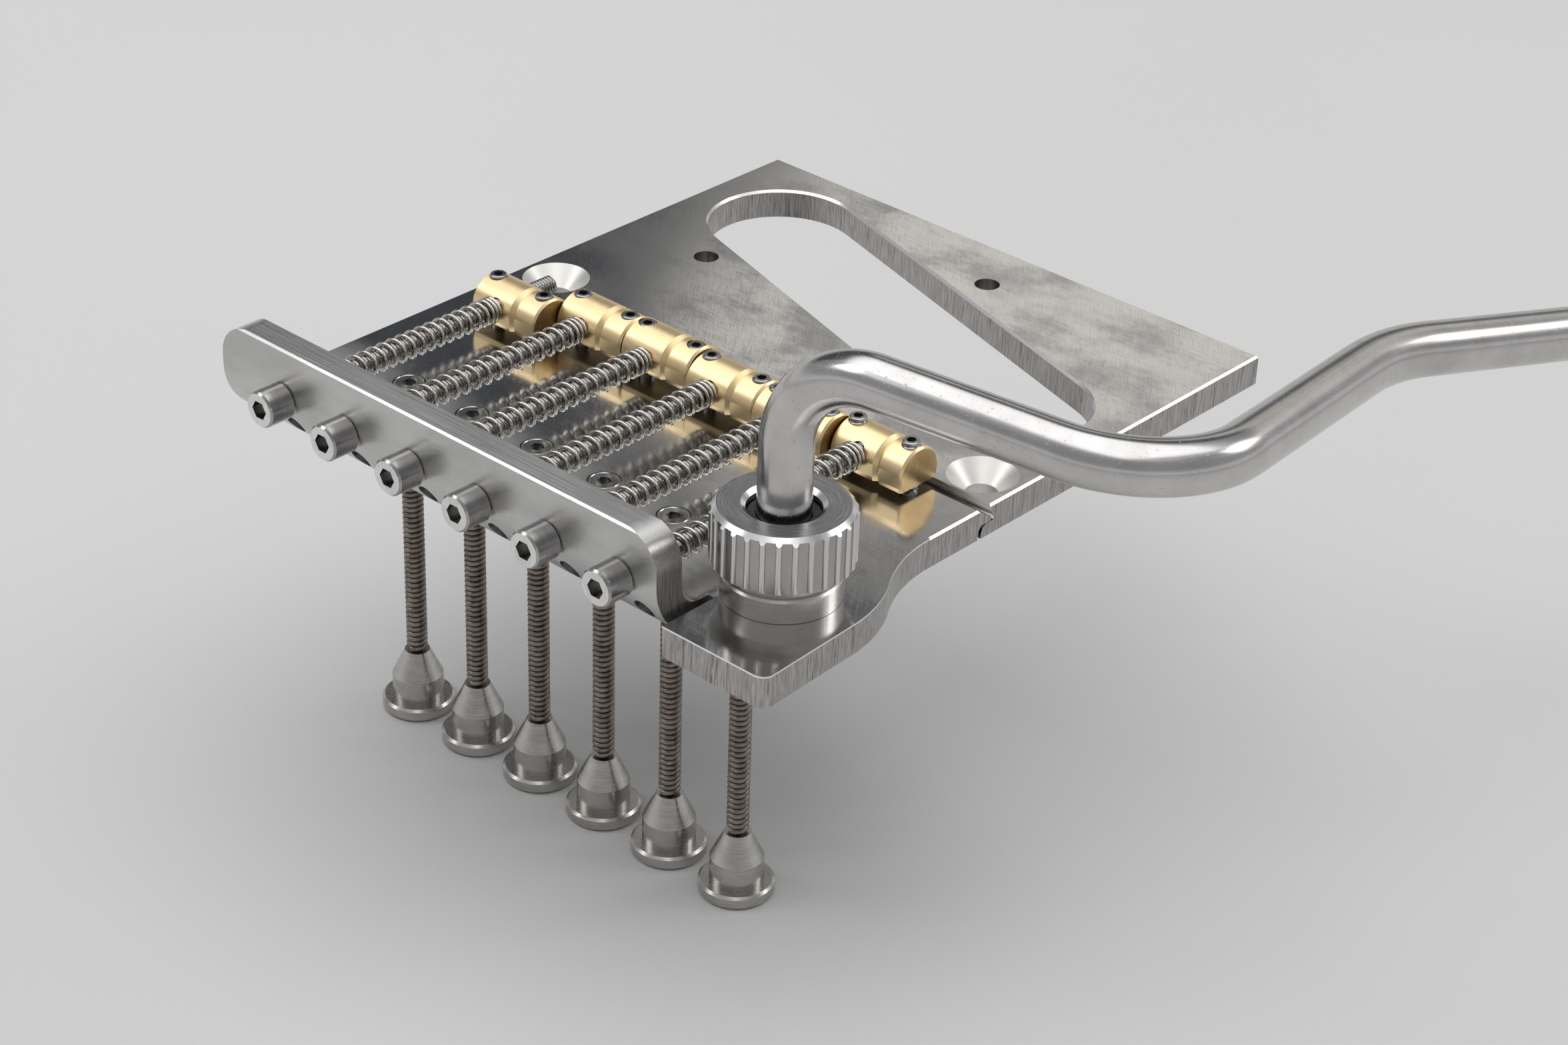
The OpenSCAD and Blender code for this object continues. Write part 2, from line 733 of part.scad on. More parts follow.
module coil(r, wire, turns, length) {
  points = coil_points(r, wire, turns, length);
  rings = [for (k = [0:len(points) - 1]) coil_ring(points, k, turns, wire)];
  corners = [for (ring = rings) each ring];
  last = len(rings) - 1;
  sides = [for (k = [0:last - 1]) for (s = [0:wire_sides - 1])
    let (a = k * wire_sides + s)
    let (b = k * wire_sides + (s + 1) % wire_sides)
    each [[a, b, b + wire_sides], [a, b + wire_sides, a + wire_sides]]];
  start = [for (s = [1:wire_sides - 2]) [0, s + 1, s]];
  end = [for (s = [1:wire_sides - 2]) [last * wire_sides, last * wire_sides + s, last * wire_sides + s + 1]];
  polyhedron(points = corners, faces = [for (f = concat(sides, start, end)) [f[2], f[1], f[0]]], convexity = 4);
}

function spring_start() = wall_inner_y + face_gap;
function spring_len(i) = saddle_y(i) - saddle_side - face_gap - spring_start();

module intonation_spring(i) {
  echo(str("intonation_spring_", i, " least gap"),
    coil_gap(coil_points(coil_r, spring_wire, spring_turns, spring_len(i)), spring_wire));
  color([0.7, 0.7, 0.7])
    translate([saddle_x(i) - screw_x, spring_start(), screw_z])
      rotate([-90, 0, 0])
        coil(coil_r, spring_wire, spring_turns, spring_len(i));
}

// A close-wound spring, as the sleeve that its turns fill
module tension_spring(i) {
  color([0.52, 0.49, 0.46])
    translate([anchor_x(i), anchor_y, tension_bottom])
      difference() {
        cylinder(d = tension_d, h = tension_len);
        translate([0, 0, -past]) cylinder(d = tension_d - 2 * tension_wire, h = tension_len + 2 * past);
      }
}

module ferrule(i) {
  color([0.7, 0.71, 0.73])
    translate([anchor_x(i), anchor_y, 0])
      rotate_extrude()
        polygon([
          [0, ferrule_bottom],
          [ferrule_flange_d / 2 - ferrule_chamfer, ferrule_bottom],
          [ferrule_flange_d / 2, ferrule_bottom + ferrule_chamfer],
          [ferrule_flange_d / 2, ferrule_barrel_z - ferrule_chamfer],
          [ferrule_flange_d / 2 - ferrule_chamfer, ferrule_barrel_z],
          [ferrule_d / 2, ferrule_barrel_z],
          [ferrule_d / 2, ferrule_cone_z],
          [ferrule_top_d / 2, ferrule_top],
          [stem_d / 2, ferrule_top],
          [stem_d / 2, ferrule_top + stem_len],
          [0, ferrule_top + stem_len]
        ]);
}

module anchor_screws() {
  head_z = plate_t - anchor_head_h;
  socket_h = plate_t / 2;
  color([0.55, 0.56, 0.58])
    for (i = [1:strings])
      translate([anchor_x(i), anchor_y, 0])
        difference() {
          rotate_extrude()
            polygon([
              [0, -stem_len],
              [stem_d / 2, -stem_len],
              [stem_d / 2, 0],
              [anchor_body_d / 2, 0],
              [anchor_body_d / 2, head_z],
              [anchor_d / 2, head_z],
              [anchor_d / 2, plate_t],
              [0, plate_t]
            ]);
          translate([0, 0, plate_t - socket_h]) hexagon(anchor_hex, socket_h + past);
        }
}

module arm_post() {
  bevel = edge_chamfer;
  foot_top = plate_t + face_gap;
  color([0.67, 0.68, 0.7])
    translate([post_x, post_y, 0])
      rotate_extrude()
        polygon([
          [0, 0],
          [foot_d / 2, 0],
          [foot_d / 2, foot_top],
          [flange_d / 2, foot_top],
          [flange_d / 2, flange_top - bevel],
          [flange_d / 2 - bevel, flange_top],
          [neck_d / 2, flange_top],
          [neck_d / 2, nut_bottom - face_gap],
          [thread_d / 2, nut_bottom - face_gap],
          [thread_d / 2, thread_top],
          [bush_d / 2 + run_gap, thread_top],
          [bush_d / 2 + run_gap, post_floor],
          [0, post_floor]
        ]);
}

module knurled_nut() {
  body_r = nut_d / 2 - ridge_h;
  shell_r = nut_d / 2;
  color([0.63, 0.64, 0.66])
    translate([post_x, post_y, nut_bottom])
      difference() {
        intersection() {
          union() {
            cylinder(r = body_r, h = nut_h);
            for (k = [0:ridges - 1])
              rotate([0, 0, k * 360 / ridges])
                translate([shell_r - ridge_w / 2, 0, 0])
                  cylinder(d = ridge_w, h = nut_h);
          }
          rotate_extrude()
            polygon([
              [0, 0],
              [shell_r - edge_chamfer, 0],
              [shell_r + past, edge_chamfer + past],
              [shell_r + past, nut_h - nut_chamfer - past],
              [shell_r - nut_chamfer, nut_h],
              [0, nut_h]
            ]);
        }
        translate([0, 0, -past])
          cylinder(d = thread_d + 2 * run_gap, h = past + thread_h + 2 * face_gap);
        translate([0, 0, -past]) cylinder(d = nut_hole, h = nut_h + 2 * past);
        translate([0, 0, nut_h - nut_rim])
          cylinder(r1 = nut_hole / 2, r2 = nut_hole / 2 + nut_rim + past, h = nut_rim + past);
      }
}

module arm_bush() {
  color([0.12, 0.12, 0.13])
    translate([post_x, post_y, 0])
      difference() {
        translate([0, 0, bush_bottom]) cylinder(d = bush_d, h = bush_top - bush_bottom);
        translate([0, 0, bush_bottom + bush_wall]) cylinder(d = arm_d + 2 * run_gap, h = nut_top);
      }
}

// Direction of a leg from its turn in plan and its downward slope
function leg_dir(turn, dip) = [cos(turn) * cos(dip), sin(turn) * cos(dip), -sin(dip)];

arm_dirs = [[0, 0, 1], leg_dir(leg_1_turn, 0), leg_dir(leg_2_turn, leg_2_dip), leg_dir(leg_3_turn, leg_3_dip)];
arm_lens = [arm_top - arm_bottom, leg_1_len, leg_2_len, leg_3_len];
arm_radii = [0, bend_1_r, bend_2_r, bend_3_r, 0];
function arm_corner(k) =
  k == 0 ? [post_x, post_y, arm_bottom] : arm_corner(k - 1) + arm_lens[k - 1] * arm_dirs[k - 1];
// Length that a bend takes from each of its two legs
function bend_take(k) =
  arm_radii[k] == 0 ? 0 : arm_radii[k] * tan(acos(arm_dirs[k - 1] * arm_dirs[k]) / 2);

// Rings along the arm above its straight stub: each has its centre, direction and radius
function bend_rings(k) =
  let (into = arm_dirs[k - 1])
  let (next = arm_dirs[k])
  let (side = next - (next * into) * into)
  let (inward = side / norm(side))
  let (centre = arm_corner(k) - bend_take(k) * into + arm_radii[k] * inward)
  let (turn = acos(into * next))
  let (steps = ceil(turn / arm_step))
  [for (s = [0:steps])
    let (a = turn * s / steps)
    [centre + arm_radii[k] * (into * sin(a) - inward * cos(a)), into * cos(a) + inward * sin(a), arm_d / 2]];

// Rings of the domed tip
function tip_rings(tip, dir) =
  [for (s = [0:tip_steps])
    let (a = 90 * s / (tip_steps + 1))
    [tip + dir * arm_d / 2 * sin(a), dir, arm_d / 2 * cos(a)]];

// First corner direction of each ring, carried along the arm without twisting
function ring_starts(rings) =
  [for (
    k = 0, side = [0, 1, 0];
    k < len(rings);
    k = k + 1,
    turned = k < len(rings) ? side - (side * rings[k][1]) * rings[k][1] : side,
    side = turned / norm(turned)
  ) side];

// A closed tube through a list of rings, with flat ends
module tube(rings, sides) {
  starts = ring_starts(rings);
  last = len(rings) - 1;
  corners = [for (k = [0:last])
    let (across = cross(rings[k][1], starts[k]))
    for (s = [0:sides - 1])
      rings[k][0] + rings[k][2] * (starts[k] * cos(s * 360 / sides) + across * sin(s * 360 / sides))];
  walls = [for (k = [0:last - 1]) for (s = [0:sides - 1])
    let (a = k * sides + s)
    let (b = k * sides + (s + 1) % sides)
    each [[a, b + sides, b], [a, a + sides, b + sides]]];
  start = [for (s = [1:sides - 2]) [0, s, s + 1]];
  end = [for (s = [1:sides - 2]) [last * sides, last * sides + s + 1, last * sides + s]];
  polyhedron(points = corners, faces = concat(walls, start, end), convexity = 6);
}

module tremolo_arm() {
  stub_top = arm_top - bend_1_r - arm_lap;
  first = [[post_x, post_y, stub_top - arm_lap], [0, 0, 1], arm_d / 2 - arm_shrink];
  rings = concat(
    [first],
    [for (k = [1:len(arm_lens) - 1]) each bend_rings(k)],
    tip_rings(arm_corner(len(arm_lens)), arm_dirs[len(arm_lens) - 1])
  );
  color([0.6, 0.6, 0.61]) {
    translate([post_x, post_y, arm_bottom]) cylinder(d = arm_d, h = stub_top - arm_bottom);
    tube([for (ring = rings) [ring[0], ring[1], min(ring[2], arm_d / 2 - arm_shrink)]], arm_sides);
  }
}

fixed_plate();
tilting_plate();
saddle(1);  // saddle_1
saddle(2);  // saddle_2
saddle(3);  // saddle_3
saddle(4);  // saddle_4
saddle(5);  // saddle_5
saddle(6);  // saddle_6
height_screw(1, -1);  // height_screw_1_bass
height_screw(1, 1);  // height_screw_1_treble
height_screw(2, -1);  // height_screw_2_bass
height_screw(2, 1);  // height_screw_2_treble
height_screw(3, -1);  // height_screw_3_bass
height_screw(3, 1);  // height_screw_3_treble
height_screw(4, -1);  // height_screw_4_bass
height_screw(4, 1);  // height_screw_4_treble
height_screw(5, -1);  // height_screw_5_bass
height_screw(5, 1);  // height_screw_5_treble
height_screw(6, -1);  // height_screw_6_bass
height_screw(6, 1);  // height_screw_6_treble
intonation_screw(1);  // intonation_screw_1
intonation_screw(2);  // intonation_screw_2
intonation_screw(3);  // intonation_screw_3
intonation_screw(4);  // intonation_screw_4
intonation_screw(5);  // intonation_screw_5
intonation_screw(6);  // intonation_screw_6
intonation_spring(1);  // intonation_spring_1
intonation_spring(2);  // intonation_spring_2
intonation_spring(3);  // intonation_spring_3
intonation_spring(4);  // intonation_spring_4
intonation_spring(5);  // intonation_spring_5
intonation_spring(6);  // intonation_spring_6
tension_spring(1);  // tension_spring_1
tension_spring(2);  // tension_spring_2
tension_spring(3);  // tension_spring_3
tension_spring(4);  // tension_spring_4
tension_spring(5);  // tension_spring_5
tension_spring(6);  // tension_spring_6
ferrule(1);  // ferrule_1
ferrule(2);  // ferrule_2
ferrule(3);  // ferrule_3
ferrule(4);  // ferrule_4
ferrule(5);  // ferrule_5
ferrule(6);  // ferrule_6
anchor_screws();
arm_post();
knurled_nut();
arm_bush();
tremolo_arm();
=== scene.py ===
"""Guitar tremolo bridge with a plate that tilts on a knife edge: its looks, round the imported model.

Sizes are in millimetres unless a name or comment says metres, and MM carries them to the frame's metres.
Angles are in degrees. x runs to the treble side, y towards the neck and z up from the guitar's top."""

import math

import bpy
import numpy as np
from mathutils import Matrix, Vector


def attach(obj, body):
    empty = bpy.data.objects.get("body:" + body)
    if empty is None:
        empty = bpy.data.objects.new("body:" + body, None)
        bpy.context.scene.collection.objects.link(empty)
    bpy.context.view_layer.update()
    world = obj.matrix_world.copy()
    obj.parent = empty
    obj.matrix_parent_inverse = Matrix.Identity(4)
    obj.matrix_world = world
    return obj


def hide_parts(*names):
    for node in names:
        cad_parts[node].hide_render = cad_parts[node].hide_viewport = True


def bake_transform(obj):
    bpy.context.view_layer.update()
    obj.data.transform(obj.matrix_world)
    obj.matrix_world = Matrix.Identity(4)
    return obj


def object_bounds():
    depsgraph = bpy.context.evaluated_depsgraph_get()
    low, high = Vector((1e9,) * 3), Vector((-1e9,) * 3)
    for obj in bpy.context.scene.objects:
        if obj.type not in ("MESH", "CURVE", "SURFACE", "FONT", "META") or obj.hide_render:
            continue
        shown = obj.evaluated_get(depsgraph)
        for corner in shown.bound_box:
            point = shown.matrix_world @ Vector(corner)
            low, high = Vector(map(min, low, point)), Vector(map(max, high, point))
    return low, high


MM = 0.001
TAU = 2 * math.pi
X_WAY = (1, 0, 0)
Y_WAY = (0, 1, 0)
Z_WAY = (0, 0, 1)

# Sizes and places that come from the model

STRINGS = range(1, 7)
MIDDLE_STRING = 3.5
STRING_PITCH = 10.8
PLATE_T = 3.8
FACE_GAP = 0.04
BODY_SCREW_X = 34.5
WALL_INNER_Y = -44.7
SADDLE_SHIFT = -0.45
SADDLE_X = [(i - MIDDLE_STRING) * STRING_PITCH + SADDLE_SHIFT for i in STRINGS]
SADDLE_Y = [-12.6, -8.9, -8.9, -9.3, -9.6, -8.1]
SADDLE_REAR = 3.2
SCREW_SIDE = 1.5
SCREW_TIP_Y = -6.04
SCREW_Z = 7.1
HEIGHT_SCREW_SIDE = 3.95
HEIGHT_SCREW_Z = PLATE_T + FACE_GAP
ANCHOR_SHIFT = 0.1
ANCHOR_Y = -31.3
TENSION_FOOT_Z = -33.24
POST = (35.5, -34.6)
ARM_FOOT_Z = 2.23
ARM_RADIUS = 3.0

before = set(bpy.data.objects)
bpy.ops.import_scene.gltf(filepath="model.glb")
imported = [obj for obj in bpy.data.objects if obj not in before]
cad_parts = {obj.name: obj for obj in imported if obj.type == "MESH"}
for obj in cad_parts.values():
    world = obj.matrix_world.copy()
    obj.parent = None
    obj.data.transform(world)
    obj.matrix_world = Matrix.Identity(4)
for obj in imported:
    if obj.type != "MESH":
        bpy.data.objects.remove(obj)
cad_low, cad_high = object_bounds()


def metres(*sizes):
    return tuple(size * MM for size in sizes)


# Camera

CAMERA_PLACE_METRES = (0.23892, -0.26345, 0.19330)
CAMERA_AZIMUTH = 41.63
CAMERA_ELEVATION = 30.59
CAMERA_ROLL = 1.92
SENSOR_WIDTH = 36
LENS = 77.92
NEAREST_METRES = 0.01
FARTHEST_METRES = 20


def place_camera():
    """The photograph's view: from the treble side behind the wall, looking down at the saddles."""
    azimuth = math.radians(CAMERA_AZIMUTH)
    elevation = math.radians(CAMERA_ELEVATION)
    roll = math.radians(CAMERA_ROLL)
    level = np.array([math.cos(azimuth), math.sin(azimuth), 0])
    inward = np.array([-math.sin(azimuth), math.cos(azimuth), 0])
    ahead = inward * math.cos(elevation) - np.array(Z_WAY) * math.sin(elevation)
    over = np.cross(level, ahead)
    right = level * math.cos(roll) + over * math.sin(roll)
    above = over * math.cos(roll) - level * math.sin(roll)
    turned = Matrix(np.stack([right, above, -ahead], 1).tolist()).to_4x4()
    camera = bpy.data.objects.new("camera", bpy.data.cameras.new("camera"))
    camera.data.sensor_width = SENSOR_WIDTH
    camera.data.lens = LENS
    camera.data.clip_start = NEAREST_METRES
    camera.data.clip_end = FARTHEST_METRES
    camera.matrix_world = Matrix.Translation(CAMERA_PLACE_METRES) @ turned
    bpy.context.scene.collection.objects.link(camera)
    bpy.context.scene.camera = camera


# Node shorthand


class Nodes:
    """A node tree under construction: each method adds or feeds nodes, and returns one or its output."""

    COLOUR_INPUTS = (6, 7)
    COLOUR_OUTPUT = 2

    def __init__(self, tree):
        self.tree = tree

    def add(self, kind, *inputs, **settings):
        node = self.tree.nodes.new(kind)
        for key, value in settings.items():
            setattr(node, key, value)
        for socket, value in zip(node.inputs, inputs):
            self.feed(socket, value)
        return node

    def feed(self, socket, value):
        """Links an output to the socket or sets the value it holds. None leaves it as it is."""
        if value is None:
            return
        if isinstance(value, bpy.types.NodeSocket):
            self.tree.links.new(value, socket)
        elif socket.type == "RGBA":
            socket.default_value = (*value, 1)
        else:
            socket.default_value = value

    def fill(self, node, **inputs):
        """Feeds a node's inputs by their names."""
        for name, value in inputs.items():
            self.feed(node.inputs[name], value)

    def maths(self, kind, *inputs):
        return self.add("ShaderNodeMath", *inputs, operation=kind).outputs[0]

    def times(self, first, *others):
        """Product of two or more numbers."""
        for other in others:
            first = self.maths("MULTIPLY", first, other)
        return first

    def span(self, value, low, high, to_low=0.0, to_high=1.0):
        """value carried from low..high to to_low..to_high, smoothly and no further."""
        limits = (low, high, to_low, to_high)
        return self.add("ShaderNodeMapRange", value, *limits, interpolation_type="SMOOTHSTEP").outputs[0]

    def blend(self, share, one, other):
        """Number one where share is 0, and other where it is 1."""
        return self.add("ShaderNodeMix", share, None, one, other, data_type="FLOAT").outputs[0]

    def tint(self, share, one, other):
        """Colour one where share is 0, and other where it is 1."""
        node = self.add("ShaderNodeMix", share, data_type="RGBA")
        for place, colour in zip(self.COLOUR_INPUTS, (one, other)):
            self.feed(node.inputs[place], colour)
        return node.outputs[self.COLOUR_OUTPUT]


class Finish(Nodes):
    """The material of one kind of piece, with its patterns on Object coordinates. A pair of places runs from
    where a mark begins to where it is full, and a pair of colours or roughnesses from where its pattern is
    low to where it is high."""

    def __init__(self, name):
        self.material = bpy.data.materials.new(name)
        self.material.use_nodes = True
        super().__init__(self.material.node_tree)
        self.shader = self.tree.nodes["Principled BSDF"]
        coordinates = self.add("ShaderNodeTexCoord").outputs
        self.here = coordinates["Object"]
        self.split = self.add("ShaderNodeSeparateXYZ", self.here).outputs
        self.facing = self.add("ShaderNodeSeparateXYZ", coordinates["Normal"]).outputs

    def along(self, axis, begin, full):
        """Share that is 0 at the place begin on an axis and 1 at the place full."""
        return self.span(self.split[axis], *metres(begin, full))

    def square(self, axis, begin, full):
        """Share by how squarely a face looks along an axis, either way: 0 at begin and 1 at full."""
        return self.span(self.maths("ABSOLUTE", self.facing[axis]), begin, full)

    def radius(self, dx, dy):
        """Distance from an axis along z, from the distances in x and in y."""
        return self.maths("SQRT", self.maths("ADD", self.times(dx, dx), self.times(dy, dy)))

    def turned(self, axis, degrees):
        """Object coordinates turned about an axis."""
        turn = [0, 0, 0]
        turn["XYZ".index(axis)] = math.radians(degrees)
        return self.add("ShaderNodeMapping", self.here, None, turn).outputs[0]

    def grain(self, waves, detail=3.0, rough=0.6, at=None):
        """Noise with its own number of waves a millimetre along each axis."""
        scale = [number / MM for number in waves]
        place = self.add("ShaderNodeMapping", at or self.here, None, None, scale).outputs[0]
        noise = self.add("ShaderNodeTexNoise")
        self.fill(noise, Vector=place, Scale=1.0, Detail=detail, Roughness=rough)
        return noise.outputs[0]

    def wave(self, pattern, middle=0.5, size=1.0):
        """A pattern as a height above and below its middle."""
        return self.times(self.maths("SUBTRACT", pattern, middle), size)

    def relief(self, height, depth):
        """Bumps of that depth."""
        bump = self.add("ShaderNodeBump")
        self.fill(bump, Strength=1.0, Distance=depth * MM, Height=height)
        self.fill(self.shader, Normal=bump.outputs[0])

    def metal(self, colour, roughness):
        self.feed(self.shader.inputs["Base Color"], colour)
        self.fill(self.shader, Metallic=1.0, Roughness=roughness)
        return self.material


# Finishes of the plates


class PlateSteel(Finish):
    """Steel plate: polished top with fine swirls and smudges, edges ground straight down, bevels lighter than
    the top as a painted highlight, and painted shade on the faces of the slit between the plates. cover lays
    further marks over it."""

    # The bevels' colour is lighter than the polished top: a painted highlight along them.
    BEVEL_HIGHLIGHT = (0.74, 0.74, 0.73)
    BEVEL_ROUGH = 0.28
    POLISHED = (0.64, 0.635, 0.625), (0.54, 0.535, 0.53)
    GROUND = (0.27, 0.255, 0.25), (0.52, 0.505, 0.495)
    GROUND_DEEP = (0.17, 0.15, 0.14)
    GROUND_ROUGH = (0.24, 0.42)
    SLIT_FRONT_Y = (-4.6, -4.7)
    SLIT_REAR_Y = (-6.6, -6.5)
    # Painted shade: colour for the faces of the slit between the plates.
    SLIT_SHADE = (0.1, 0.098, 0.095)
    SWIRL_TURN = 52
    DEPTH = 0.01

    def __init__(self, name):
        super().__init__(name)
        self.top = self.square("Z", 0.9, 0.99)
        self.edge = self.square("Z", 0.35, 0.15)
        self.smudge = self.grain((0.09, 0.12, 0.2), 4)
        self.streak = self.grain((4.5, 4.5, 0.3), 4, 0.7)
        crossing = self.grain((0.3, 10, 4), 2, at=self.turned("Z", self.SWIRL_TURN))
        swirl = self.times(self.grain((0.25, 9, 4), 2), crossing)
        self.colour = self.BEVEL_HIGHLIGHT
        self.rough = self.BEVEL_ROUGH
        self.height = self.wave(swirl, 0.25, 0.1)

        smudged = self.span(self.smudge, 0.42, 0.7, 0.11, 0.2)
        shine = self.maths("ADD", smudged, self.span(swirl, 0.2, 0.42, 0.0, 0.08))
        polished = self.tint(self.span(self.smudge, 0.35, 0.75), *self.POLISHED)
        self.cover(self.top, polished, shine)

        deep = self.span(self.grain((2.2, 2.2, 0.16), 3, 0.7), 0.56, 0.7)
        streaked = self.tint(self.span(self.streak, 0.3, 0.7), *self.GROUND)
        ground = self.tint(deep, streaked, self.GROUND_DEEP)
        rub = self.span(self.streak, 0.25, 0.75, *self.GROUND_ROUGH)
        self.cover(self.edge, ground, rub, self.wave(self.streak))

        # Painted shade: the faces of the slit between the plates are painted nearly black.
        between = self.times(self.along("Y", *self.SLIT_FRONT_Y), self.along("Y", *self.SLIT_REAR_Y))
        self.cover(self.times(between, self.square("Y", 0.75, 0.9)), self.SLIT_SHADE)

    def cover(self, share, colour=None, rough=None, height=None):
        """Changes the steel's colour, roughness or height where share is 1."""
        if colour is not None:
            self.colour = self.tint(share, self.colour, colour)
        if rough is not None:
            self.rough = self.blend(share, self.rough, rough)
        if height is not None:
            self.height = self.blend(share, self.height, height)

    def finished(self):
        self.relief(self.height, self.DEPTH)
        return self.metal(self.colour, self.rough)


SINK_RADIUS = (4.4, 4.3)
SINK_COLOUR = (0.7, 0.69, 0.66)
SINK_ROUGH = 0.42
EAR_X = (31.0, 31.2)
# A painted highlight: a bright line along the top of the ear's edge.
EAR_HIGHLIGHT_Z = (3.56, 3.62)
EAR_HIGHLIGHT_COLOUR = (0.95, 0.95, 0.95)
EAR_HIGHLIGHT_ROUGH = 0.3
WORN_X = (30.5, 29.5)
WORN_Y = (-26, -34)
WALL_X = (30.9, 30.6)
WALL_FOOT_Z = (3.4, 4.2)
WALL_TOP_Z = (12.6, 13.2)
WALL_MARKS_TURN = 24
WALL_SATIN = (0.6, 0.595, 0.585), (0.5, 0.495, 0.49)
WALL_END = (0.34, 0.335, 0.33), (0.5, 0.49, 0.48)


def fixed_plate_finish():
    """The fixed plate has a duller countersink at each body screw."""
    f = PlateSteel("fixed_plate_steel")
    beside = f.maths("SUBTRACT", f.maths("ABSOLUTE", f.split["X"]), BODY_SCREW_X * MM)
    near = f.span(f.radius(beside, f.split["Y"]), *metres(*SINK_RADIUS))
    f.cover(f.times(near, f.square("Z", 0.9, 0.8)), SINK_COLOUR, SINK_ROUGH)
    return f.finished()


def tilting_plate_finish():
    """The tilting plate has a painted highlight, a bright line along the top of its ear's edge, a worn rear
    under the springs and a satin wall.
    """
    f = PlateSteel("tilting_plate_steel")
    # Painted highlight along the top of the ear's edge.
    ear_highlight = f.times(f.edge, f.along("Z", *EAR_HIGHLIGHT_Z), f.along("X", *EAR_X))
    f.cover(ear_highlight, EAR_HIGHLIGHT_COLOUR, EAR_HIGHLIGHT_ROUGH)

    worn = f.times(f.top, f.along("Y", *WORN_Y), f.along("X", *WORN_X))
    f.cover(worn, rough=f.span(f.smudge, 0.3, 0.7, 0.3, 0.38))

    outside = f.times(f.span(f.facing["Y"], -0.2, -0.75), f.along("X", *WALL_X))
    marks = f.grain((0.4, 5, 4), 2, at=f.turned("Y", WALL_MARKS_TURN))
    satin = f.tint(f.span(f.smudge, 0.3, 0.7), *WALL_SATIN)
    f.cover(outside, satin, f.span(marks, 0.3, 0.7, 0.27, 0.34), f.wave(marks, size=0.02))

    wall_top = f.times(f.along("Z", *WALL_TOP_Z), f.top)
    drawn = f.grain((0.1, 7, 3), 3)
    f.cover(wall_top, rough=f.span(drawn, 0.3, 0.7, 0.3, 0.4), height=f.wave(drawn, size=0.08))

    wall_end = f.times(f.span(f.facing["X"], 0.3, 0.8), f.along("Z", *WALL_FOOT_Z))
    f.cover(wall_end, f.tint(f.span(f.streak, 0.3, 0.7), *WALL_END))
    return f.finished()


# Finishes of the small parts and the arm


def turned_finish(name, axis, body, shine, depth, ring, ends=None, thread=None):
    """Metal turned on a lathe about one axis, with rings across it and a little uneven in tone. body holds
    the dark and light colours of its skin, and ends those of its flat ends, which stand for light falling on
    them: lighter than the skin for a painted highlight, darker for painted shade. shine is its least and
    greatest roughness, depth the depth of its rings, ring their number a millimetre, and thread the darker
    colour of a thread in front of the wall, painted shade inside its spring."""
    f = Finish(name)
    thread_y = (-41.5, -40)
    waves = [0.35, 0.35, 0.35]
    waves["XYZ".index(axis)] = ring
    face = f.square(axis, 0.9, 0.98)
    mark = f.blend(face, f.grain(waves), f.grain((6, 6, 0.6)))
    cloud = f.grain((0.3, 0.3, 0.3))
    shade = f.span(f.maths("ADD", mark, f.times(cloud, 0.8)), 0.55, 1.2)
    colour = f.tint(shade, *body)
    # Painted light: the flat ends take colours lighter or darker than the skin, and the thread in front of
    # the wall a darker colour, painted shade inside its spring.
    if ends:
        colour = f.tint(face, colour, f.tint(shade, *ends))
    if thread:
        colour = f.tint(f.along("Y", *thread_y), colour, thread)
    f.relief(mark, depth)
    return f.metal(colour, f.span(mark, 0.25, 0.75, *shine))


def nut_finish(name):
    """Turned and knurled nut: rings round the axis on its face, a polished bevel painted light as a
    highlight, and on the knurl painted shade between ridges painted light as highlights.
    """
    f = Finish(name)
    radian_in_metres = 0.002
    ridge_radius = (7.55, 7.75)
    # Painted light on the knurl and bevel: the sides between the ridges are painted dark as shade, the ridges
    # and the bevel light as highlights.
    valley_shade_colours = (0.12, 0.115, 0.11), (0.24, 0.228, 0.224)
    ridge_highlight_colour = (0.62, 0.61, 0.6)
    bevel_highlight_colour = (0.72, 0.72, 0.72)
    face_colours = (0.36, 0.36, 0.36), (0.5, 0.5, 0.5)
    side_rough = 0.24
    post_x, post_y = metres(*POST)
    dx = f.maths("SUBTRACT", f.split["X"], post_x)
    dy = f.maths("SUBTRACT", f.split["Y"], post_y)
    radius = f.radius(dx, dy)
    turn = f.times(f.maths("ARCTAN2", dy, dx), radian_in_metres)
    rings = f.grain((9, 0.7, 1), at=f.add("ShaderNodeCombineXYZ", radius, turn, 0.0).outputs[0])
    level = f.span(f.facing["Z"], 0.9, 0.98)
    valley_shade = f.tint(f.span(f.grain((0.5, 0.5, 0.3)), 0.3, 0.7), *valley_shade_colours)
    knurl = f.tint(f.span(radius, *metres(*ridge_radius)), valley_shade, ridge_highlight_colour)
    around = f.tint(f.square("Z", 0.3, 0.1), bevel_highlight_colour, knurl)
    face = f.tint(f.span(rings, 0.3, 0.7), *face_colours)
    rough = f.blend(level, side_rough, f.span(rings, 0.3, 0.7, 0.24, 0.36))
    f.relief(f.wave(rings, size=level), 0.008)
    return f.metal(f.tint(level, around, face), rough)


def wire_finish(name, shades, shine):
    """Drawn wire: nearly smooth, a little stained, from its dark to its light shade."""
    f = Finish(name)
    stain = f.grain((0.7, 0.7, 0.7), 4)
    f.relief(f.grain((9, 9, 9), 2), 0.003)
    return f.metal(f.tint(f.span(stain, 0.35, 0.65), *shades), f.span(stain, 0.3, 0.7, *shine))


